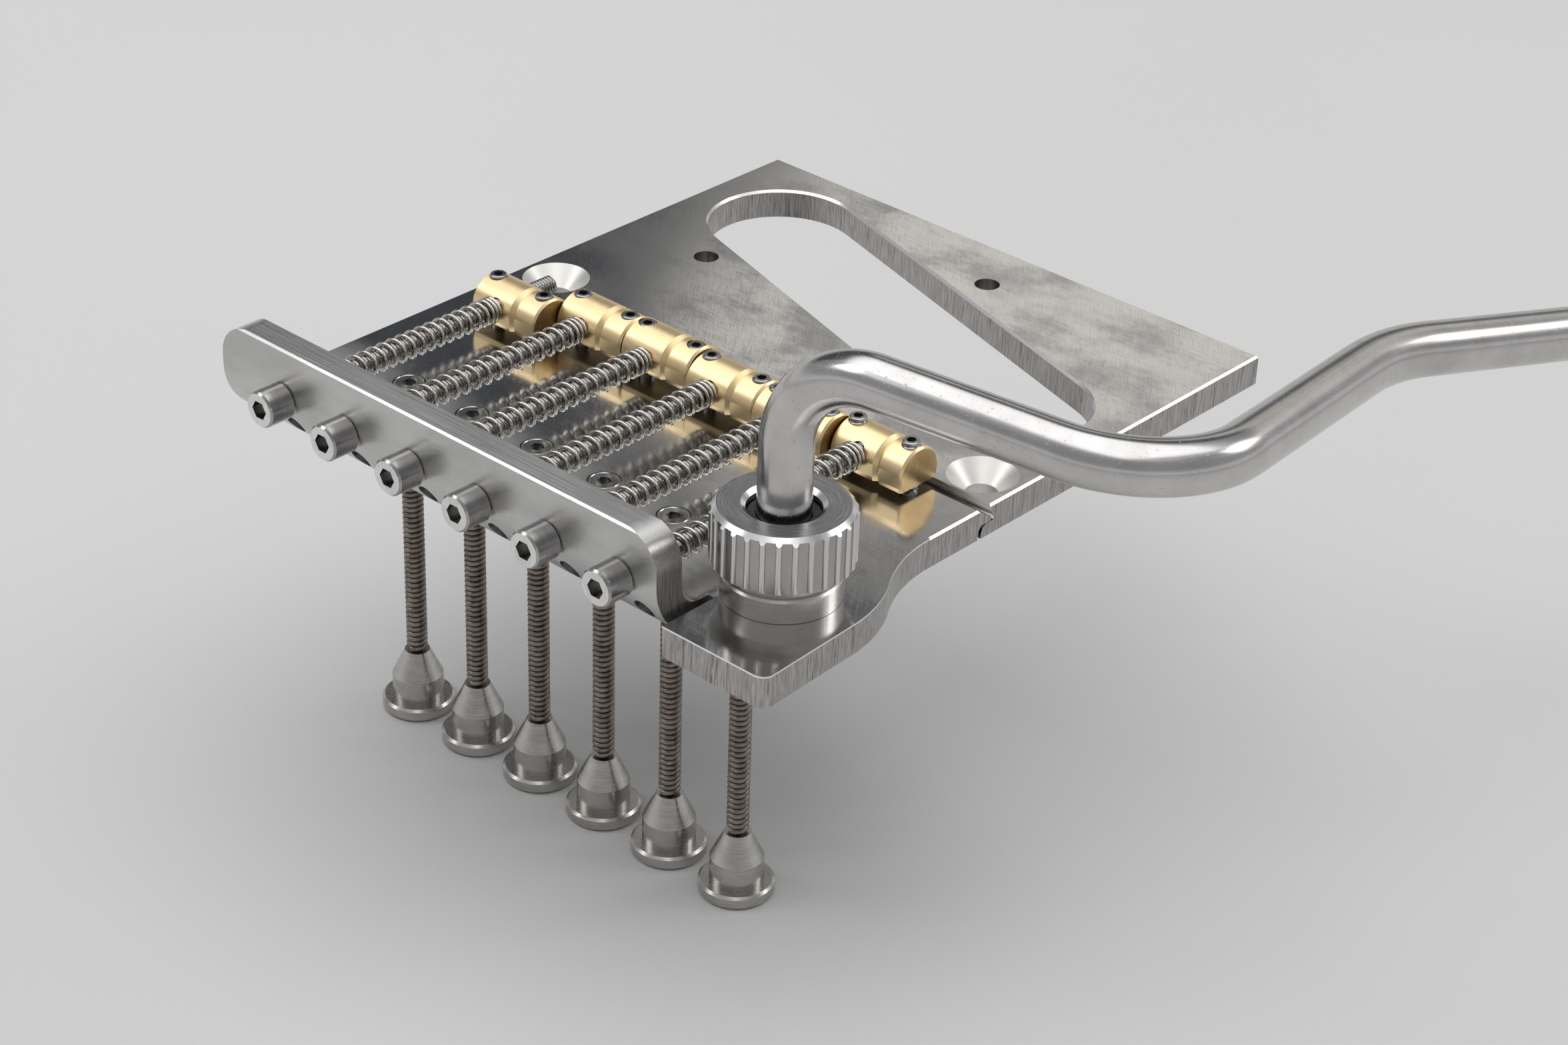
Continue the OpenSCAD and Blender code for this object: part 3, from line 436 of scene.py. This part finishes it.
def arm_finish(name):
    """Satin stainless rod: drawn lines along it, tiny pits and faint stains. The lines follow the rod's own
    map of length and girth, which is in millimetres, where grain takes metres."""
    f = Finish(name)
    chart = f.add("ShaderNodeUVMap", uv_map="length and girth").outputs[0]
    drawn = f.grain((0.06 * MM, 3.5 * MM, 1), at=chart)
    pits = f.span(f.grain((3.4, 3.4, 3.4), 2, 0.75), 0.66, 0.76)
    stain = f.span(f.grain((0.12, 0.12, 0.12), 5), 0.35, 0.7)
    steel = f.tint(stain, (0.58, 0.57, 0.565), (0.48, 0.47, 0.46))
    colour = f.tint(f.times(pits, 0.6), steel, (0.14, 0.13, 0.12))
    rough = f.maths("ADD", f.span(drawn, 0.25, 0.75, 0.17, 0.24), f.times(pits, 0.2))
    f.relief(f.maths("SUBTRACT", f.times(drawn, 0.06), pits), 0.015)
    return f.metal(colour, rough)


def bush_finish(name):
    """Near-black steel of the bush, a little uneven, seen only as a shadowed mouth."""
    f = Finish(name)
    colour = f.tint(f.span(f.grain((1, 1, 1)), 0.3, 0.7), (0.05, 0.05, 0.052), (0.11, 0.11, 0.11))
    return f.metal(colour, 0.42)


# Meshes

TURN_STEPS = 24
THREAD_STEPS = 8
WIRE_SIDES = 10
SCREW_SIDES = 48
ARM_SIDES = 64
SOCKET_MIDDLE = 0.2
SOFT_CREASE = 60
HARD_CREASE = 25


def unit(vectors):
    return vectors / np.linalg.norm(vectors, axis=-1, keepdims=True)


def circle(one, other, sides):
    """Directions all round, from one towards other: a row of them for each pair of unit vectors."""
    angle = np.linspace(0, TAU, sides, endpoint=False)[:, None]
    return np.cos(angle) * one[..., None, :] + np.sin(angle) * other[..., None, :]


def closed_skin(name, grid):
    """Mesh over rings of points: grid[ring, side] is a corner in metres, each ring joins the next, and a fan
    round its middle closes each end."""
    rings, sides = grid.shape[:2]
    points = np.concatenate([grid.reshape(-1, 3), [grid[0].mean(0)], [grid[-1].mean(0)]])
    corner = np.arange((rings - 1) * sides)
    beside = corner // sides * sides + (corner + 1) % sides
    quads = np.stack([corner, beside, beside + sides, corner + sides], 1)
    side = np.arange(sides)
    after = (side + 1) % sides
    last_ring = (rings - 1) * sides
    middle = rings * sides
    begin = np.stack([after, side, np.full(sides, middle)], 1)
    end = np.stack([side + last_ring, after + last_ring, np.full(sides, middle + 1)], 1)
    loops = np.concatenate([quads.ravel(), begin.ravel(), end.ravel()])
    corners_each = np.repeat([4, 3], [len(quads), 2 * sides])
    mesh = bpy.data.meshes.new(name)
    mesh.vertices.add(len(points))
    mesh.vertices.foreach_set("co", points.astype(np.float32).ravel())
    mesh.loops.add(len(loops))
    mesh.loops.foreach_set("vertex_index", loops.astype(np.int32))
    mesh.polygons.add(len(corners_each))
    mesh.polygons.foreach_set("loop_start", (np.cumsum(corners_each) - corners_each).astype(np.int32))
    mesh.update(calc_edges=True)
    mesh.validate()
    return mesh


def chart_skin(mesh, lengths, sides, girth):
    """Gives a closed skin the map that its finish follows: each ring's length and each side's girth."""
    ring, side = np.divmod(np.arange((len(lengths) - 1) * sides), sides)
    u = np.stack([lengths[ring], lengths[ring], lengths[ring + 1], lengths[ring + 1]], 1).ravel()
    v = np.stack([side, side + 1, side + 1, side], 1).ravel() / sides * girth
    fans = np.repeat([lengths[0], lengths[-1]], 3 * sides)
    uv = np.stack([np.concatenate([u, fans]), np.concatenate([v, np.zeros(len(fans))])], 1)
    layer = mesh.uv_layers.new(name="length and girth")
    layer.data.foreach_set("uv", uv.astype(np.float32).ravel())


def new_piece(mesh, crease, finish, replaced):
    """Shows the mesh in place of a node of the model: smooth, but for creases sharper than crease."""
    mesh.shade_smooth()
    mesh.set_sharp_from_angle(angle=math.radians(crease))
    mesh.materials.append(finish)
    piece = bpy.data.objects.new(mesh.name, mesh)
    bpy.context.scene.collection.objects.link(piece)
    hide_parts(replaced)
    return piece


def wound(start, axis, side, radius, wire, turns, heights):
    """Rings of a wound spring: a circle of the wire's size carried along a helix, whose height at each share
    of the winding comes from heights(share). axis and side are unit vectors. The winding starts at side."""
    axis = np.array(axis, float)
    side = np.array(side, float)
    share = np.linspace(0, 1, int(turns * TURN_STEPS) + 1)
    angle = share[:, None] * turns * TAU
    out = np.cos(angle) * side + np.sin(angle) * np.cross(axis, side)
    line = np.array(start, float) + radius * out + heights(share)[:, None] * axis
    ahead = unit(np.gradient(line, axis=0))
    up = unit(np.cross(ahead, out))
    return (line[:, None] + wire / 2 * circle(np.cross(up, ahead), up, WIRE_SIDES)) * MM


def turned_solid(start, axis, side, rows):
    """Rings of a turned solid. Each row holds a height along axis and the radius there, which is one number,
    or one for each angle round the axis from side. axis and side are unit vectors."""
    axis = np.array(axis, float)
    side = np.array(side, float)
    heights = np.array([height for height, radius in rows], float)[:, None, None]
    radii = np.array([np.broadcast_to(radius, SCREW_SIDES) for height, radius in rows], float)[..., None]
    around = circle(side, np.cross(axis, side), SCREW_SIDES)
    return (np.array(start, float) + heights * axis + radii * around) * MM


def socket_rows(flats, rim, floor):
    """Rows of a hexagon socket of that width across the flats: down its walls and in over its floor."""
    angle = np.linspace(0, 360, SCREW_SIDES, endpoint=False)
    wall = flats / 2 / np.cos(np.radians((angle + 30) % 60 - 30))
    return [(rim, wall), (floor, wall), (floor, wall * SOCKET_MIDDLE)]


def thread_rows(begin, end, pitch, crest, depth):
    """Rows of a screw thread: a wave in height that climbs one pitch a turn, and runs out at both ends."""
    heights = np.arange(begin, end, pitch / THREAD_STEPS)
    turn = np.linspace(0, 1, SCREW_SIDES, endpoint=False)[None]
    z = heights[:, None]
    fade = np.clip(np.minimum(z - z[0], z[-1] - z) / pitch, 0, 1)
    radii = crest - depth * fade * (0.5 + 0.5 * np.cos(TAU * (z / pitch - turn)))
    return list(zip(heights, radii))


# Springs


def intonation_spring(i, finish):
    """Open compression spring, wound closer at both ends, where it bears on the wall and the saddle."""
    turns = 22
    wire = 0.42
    radius = 1.5
    x = SADDLE_X[i - 1] - SCREW_SIDE
    begin = WALL_INNER_Y + FACE_GAP
    end = SADDLE_Y[i - 1] - SADDLE_REAR - FACE_GAP
    # How fast the wire climbs at these turns, where its open middle climbs at 1.
    pace_turns = [0, 1, 2, turns - 4, turns - 2, turns]
    paces = [0.25, 0.3, 1, 1, 0.42, 0.3]

    def heights(share):
        pace = np.interp(share * turns, pace_turns, paces)
        run = np.concatenate([[0], np.cumsum((pace[1:] + pace[:-1]) / 2)])
        return wire / 2 + run / run[-1] * (end - begin - wire)

    grid = wound((x, begin, SCREW_Z), Y_WAY, X_WAY, radius, wire, turns, heights)
    name = f"intonation_spring_{i}"
    piece = new_piece(closed_skin("wound_" + name, grid), SOFT_CREASE, finish, name)
    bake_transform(piece)


def tension_spring(i, finish):
    """Close-wound tension spring of about 46 turns: each turn touches the next."""
    wire = 0.7
    turn_pitch = 0.704
    radius = 0.97
    x = (i - MIDDLE_STRING) * STRING_PITCH + ANCHOR_SHIFT
    low = TENSION_FOOT_Z
    high = -FACE_GAP

    def heights(share):
        return wire / 2 + share * (high - low - wire)

    turns = (high - low) / turn_pitch - 1
    grid = wound((x, ANCHOR_Y, low), Z_WAY, (0, -1, 0), radius, wire, turns, heights)
    name = f"tension_spring_{i}"
    piece = new_piece(closed_skin("wound_" + name, grid), SOFT_CREASE, finish, name)
    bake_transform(piece)


# Screws


def intonation_screw(i, finish):
    """Socket screw: a shank threaded where the saddle runs, and a round head behind the wall."""
    rows = [
        (0, 0.4),
        (0, 0.8),
        *thread_rows(0.3, 33.6, pitch=0.45, crest=1.12, depth=0.1),
        (33.7, 1.08),
        (42.4, 1.08),
        (42.5, 1.12),
        (42.5, 2.08),
        (42.62, 2.2),
        (45.75, 2.2),
        (46, 1.98),
        *socket_rows(2.05, rim=46, floor=44.1),
    ]
    grid = turned_solid((SADDLE_X[i - 1] - SCREW_SIDE, SCREW_TIP_Y, SCREW_Z), (0, -1, 0), Z_WAY, rows)
    name = f"intonation_screw_{i}"
    piece = new_piece(closed_skin("threaded_" + name, grid), HARD_CREASE, finish, name)
    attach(piece, name)


def height_screw(i, side, x, finish):
    """Threaded grub screw with a cup point and a hexagon socket in its top."""
    rows = [
        (0, 0.4),
        (0, 0.8),
        *thread_rows(0.25, 5.9, pitch=0.4, crest=1.05, depth=0.18),
        (5.98, 1.0),
        (6.05, 0.9),
        *socket_rows(1.05, rim=6.05, floor=4.5),
    ]
    grid = turned_solid((x, SADDLE_Y[i - 1], HEIGHT_SCREW_Z), Z_WAY, X_WAY, rows)
    name = f"height_screw_{i}_{side}"
    piece = new_piece(closed_skin("threaded_" + name, grid), HARD_CREASE, finish, name)
    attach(piece, name)


def anchor_screw(i, finish):
    """Flush screw above a tension spring: stem, body, and a head with a raised rim and a hexagon socket."""
    rows = [
        (-3, 0.4),
        (-2.8, 0.52),
        (0, 0.52),
        (0, 1.55),
        (2.5, 1.55),
        (2.5, 1.94),
        (3.64, 1.94),
        (PLATE_T, 1.8),
        (PLATE_T, 1.7),
        (3.73, 1.63),
        *socket_rows(1.55, rim=3.73, floor=2.2),
    ]
    x = (i - MIDDLE_STRING) * STRING_PITCH + ANCHOR_SHIFT
    grid = turned_solid((x, ANCHOR_Y, 0), Z_WAY, X_WAY, rows)
    mesh = closed_skin(f"flush_anchor_screw_{i}", grid)
    piece = new_piece(mesh, HARD_CREASE, finish, "anchor_screws")
    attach(piece, "rocker")


# Arm


def leg(turn, dip):
    """Direction of a leg of the arm, from its turn in plan and its downward slope."""
    turn = math.radians(turn)
    dip = math.radians(dip)
    return np.array([math.cos(turn) * math.cos(dip), math.sin(turn) * math.cos(dip), -math.sin(dip)])


def arm_line():
    """Points along the arm's middle and the direction at each: straight legs joined by round bends."""
    first_corner_z = 32.6
    straight_step = 2
    bend_step = 2.5
    ways = [np.array(Z_WAY, float), leg(6.4, 0), leg(97.4, 4.6), leg(76, 10)]
    lengths = [first_corner_z - ARM_FOOT_Z, 45.74, 45.22, 88]
    bends = [11, 13, 30]
    corner = np.array([*POST, ARM_FOOT_Z])
    taken = 0
    points = []
    aheads = []
    for k, (way, length) in enumerate(zip(ways, lengths)):
        goal = corner + length * way
        bent = k < len(bends)
        turn = math.acos(way @ ways[k + 1]) if bent else 0
        take = bends[k] * math.tan(turn / 2) if bent else 0
        steps = np.linspace(taken, length - take, max(int((length - take - taken) / straight_step), 2))
        points.append(corner + steps[:, None] * way)
        aheads.append(np.repeat(way[None], len(steps), 0))
        if bent:
            side = unit(ways[k + 1] - (ways[k + 1] @ way) * way)
            angle = np.linspace(0, turn, int(math.degrees(turn) / bend_step))[1:-1, None]
            centre = goal - take * way + bends[k] * side
            points.append(centre + bends[k] * (way * np.sin(angle) - side * np.cos(angle)))
            aheads.append(way * np.cos(angle) + side * np.sin(angle))
        corner = goal
        taken = take
    return np.concatenate(points), np.concatenate(aheads)


def tremolo_arm(finish):
    """One bent rod with a round tip: a circle carried along the arm's line without twisting."""
    foot_radius = 2.6
    skin_radius = 2.97
    line, ahead = arm_line()
    dome = np.radians(np.linspace(0, 90, 9)[1:-1])
    tip = line[-1] + ahead[-1] * ARM_RADIUS * np.sin(dome)[:, None]
    shaft = np.full(len(line) - 1, skin_radius)
    radius = np.concatenate([[foot_radius], shaft, skin_radius * np.cos(dome)])
    line = np.concatenate([line, tip])
    ahead = np.concatenate([ahead, np.repeat(ahead[-1][None], len(tip), 0)])
    side = np.array(Y_WAY, float)
    sides = []
    for way in ahead:
        side = unit(side - (side @ way) * way)
        sides.append(side)
    around = circle(np.array(sides), np.cross(ahead, sides), ARM_SIDES)
    mesh = closed_skin("bent_tremolo_arm", (line[:, None] + radius[:, None, None] * around) * MM)
    run = np.concatenate([[0], np.cumsum(np.linalg.norm(np.diff(line, axis=0), axis=1))])
    chart_skin(mesh, run, ARM_SIDES, TAU * ARM_RADIUS)
    piece = new_piece(mesh, SOFT_CREASE, finish, "tremolo_arm")
    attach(piece, "tremolo_arm")


# Stage

FLOOR_REACH_METRES = 6.0
FLOOR_GAP_METRES = 0.00005
FLOOR_COLOURS = (0.63, 0.63, 0.625), (0.65, 0.65, 0.65)
CARD_WAY = (-0.66, 0.56, 0.5)
SCREEN_SLANT = 0.5
SKY_COLOUR = (0.34, 0.34, 0.345)
CARD_COLOUR = (0.06, 0.066, 0.075)
HORIZON_COLOUR = (0.72, 0.72, 0.72)
OVERHEAD_COLOUR = (0.6, 0.6, 0.6)
SCREEN_COLOUR = (0.9, 0.875, 0.83)


def build_floor():
    """A wide pale floor just under the ferrules."""
    z = cad_low.z - FLOOR_GAP_METRES
    corners = ((-1, -1), (1, -1), (1, 1), (-1, 1))
    points = [(x * FLOOR_REACH_METRES, y * FLOOR_REACH_METRES, z) for x, y in corners]
    mesh = bpy.data.meshes.new("floor")
    mesh.from_pydata(points, [], [(0, 1, 2, 3)])
    f = Finish("floor_paper")
    tone = f.span(f.grain((0.004, 0.004, 0.004), 2), 0.3, 0.7)
    f.feed(f.shader.inputs["Base Color"], f.tint(tone, *FLOOR_COLOURS))
    f.feed(f.shader.inputs["Roughness"], 0.9)
    f.feed(f.shader.inputs["Specular IOR Level"], 0.1)
    mesh.materials.append(f.material)
    piece = bpy.data.objects.new("floor", mesh)
    bpy.context.scene.collection.objects.link(piece)


def build_sky():
    """A grey surround, pale near the horizon and overhead. In the photograph's view the plates' tops mirror
    a dark card in it, and a pale warm screen that stands in the card."""
    world = bpy.data.worlds.new("studio")
    bpy.context.scene.world = world
    world.use_nodes = True
    sky = Nodes(world.node_tree)
    sky.tree.nodes.clear()
    way = sky.add("ShaderNodeTexCoord").outputs["Generated"]
    x, y, z = sky.add("ShaderNodeSeparateXYZ", way).outputs
    card = sky.add("ShaderNodeVectorMath", way, CARD_WAY, operation="DOT_PRODUCT").outputs["Value"]
    slant = sky.maths("MULTIPLY_ADD", z, SCREEN_SLANT, x)
    screen = sky.times(
        sky.span(slant, -0.405, -0.382),
        sky.span(z, 0.512, 0.492),
        sky.span(z, 0.34, 0.42),
        sky.span(y, 0.622, 0.642),
    )
    colour = sky.tint(sky.span(card, 0.78, 0.88), SKY_COLOUR, CARD_COLOUR)
    colour = sky.tint(sky.span(z, 0.08, 0.24, 1.0, 0.0), colour, HORIZON_COLOUR)
    colour = sky.tint(sky.span(z, 0.68, 0.8), colour, OVERHEAD_COLOUR)
    colour = sky.tint(screen, colour, SCREEN_COLOUR)
    back = sky.add("ShaderNodeBackground", colour)
    sky.add("ShaderNodeOutputWorld", back.outputs[0])


def build_lamp(name, place, aim, size, power):
    """A soft rectangular lamp, out of the camera's sight. Its place, aim and size are in metres."""
    lamp = bpy.data.objects.new(name, bpy.data.lights.new(name, "AREA"))
    lamp.data.shape = "RECTANGLE"
    lamp.data.size, lamp.data.size_y = size
    lamp.data.energy = power
    lamp.location = place
    lamp.rotation_euler = (Vector(aim) - lamp.location).to_track_quat("-Z", "Y").to_euler()
    lamp.visible_camera = False
    bpy.context.scene.collection.objects.link(lamp)


def build_stage():
    """A pale floor, a surround and three soft lamps."""
    build_floor()
    build_sky()
    build_lamp("lamp_above", (-0.2, 0.0, 1.0), aim=(-0.2, 0.0, 0.0), size=(1.6, 1.3), power=8.0)
    build_lamp("lamp_left", (-0.72, -0.62, 0.78), aim=(0.0, 0.0, 0.0), size=(0.45, 0.3), power=1.4)
    build_lamp("lamp_right", (0.58, 0.76, 0.66), aim=(0.0, 0.0, 0.0), size=(0.45, 0.3), power=1.6)
    bpy.context.scene.view_settings.view_transform = "Standard"


# The bridge


def dress_nodes():
    """Gives the model's own plates, saddles, ferrules, post, nut and bush their finishes."""
    brass = turned_finish(
        "saddle_brass",
        "X",
        body=((0.88, 0.68, 0.38), (0.93, 0.74, 0.44)),
        # The saddles' flat ends are painted much darker than the brass skin: painted shade on them.
        ends=((0.36, 0.25, 0.115), (0.56, 0.4, 0.19)),
        shine=(0.33, 0.4),
        depth=0.0008,
        ring=9.0,
    )
    ferrule = turned_finish(
        "ferrule_steel",
        "Z",
        body=((0.42, 0.4, 0.38), (0.56, 0.545, 0.525)),
        shine=(0.2, 0.3),
        depth=0.0015,
        ring=8.0,
    )
    post = turned_finish(
        "post_steel",
        "Z",
        body=((0.54, 0.525, 0.51), (0.6, 0.585, 0.57)),
        shine=(0.26, 0.32),
        depth=0.0004,
        ring=9.0,
    )
    finishes = {
        "fixed_plate": fixed_plate_finish(),
        "tilting_plate": tilting_plate_finish(),
        "arm_post": post,
        "knurled_nut": nut_finish("nut_steel"),
        "arm_bush": bush_finish("bush_dark"),
    }
    for i in STRINGS:
        finishes[f"saddle_{i}"] = brass
        finishes[f"ferrule_{i}"] = ferrule
    for node, finish in finishes.items():
        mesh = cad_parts[node].data
        mesh.materials.clear()
        mesh.materials.append(finish)


def build_pieces():
    """Makes the screws, springs and arm that stand in for the model's plainer ones."""
    screw = turned_finish(
        "screw_steel",
        "Y",
        body=((0.34, 0.335, 0.33), (0.46, 0.455, 0.45)),
        # The heads' flat faces are painted much lighter than the skin: a painted highlight.
        ends=((0.66, 0.65, 0.64), (0.86, 0.85, 0.84)),
        # The thread in front of the wall is painted darker: painted shade inside the spring.
        thread=(0.29, 0.28, 0.265),
        shine=(0.16, 0.28),
        depth=0.001,
        ring=10.0,
    )
    anchor = turned_finish(
        "anchor_steel",
        "Z",
        body=((0.5, 0.49, 0.48), (0.66, 0.65, 0.64)),
        shine=(0.16, 0.26),
        depth=0.002,
        ring=14.0,
    )
    grub = turned_finish(
        "grub_steel",
        "Z",
        body=((0.3, 0.3, 0.31), (0.5, 0.5, 0.51)),
        shine=(0.16, 0.3),
        depth=0.004,
        ring=14.0,
    )
    bright_wire = wire_finish("bright_wire", ((0.52, 0.5, 0.46), (0.66, 0.64, 0.6)), shine=(0.2, 0.3))
    brown_wire = wire_finish("brown_wire", ((0.19, 0.163, 0.145), (0.3, 0.262, 0.23)), shine=(0.26, 0.4))
    for i in STRINGS:
        intonation_screw(i, screw)
        intonation_spring(i, bright_wire)
        tension_spring(i, brown_wire)
        anchor_screw(i, anchor)
        height_screw(i, "bass", SADDLE_X[i - 1] - HEIGHT_SCREW_SIDE, grub)
        height_screw(i, "treble", SADDLE_X[i - 1] + HEIGHT_SCREW_SIDE, grub)
    tremolo_arm(arm_finish("arm_stainless"))


place_camera()
build_stage()
dress_nodes()
build_pieces()
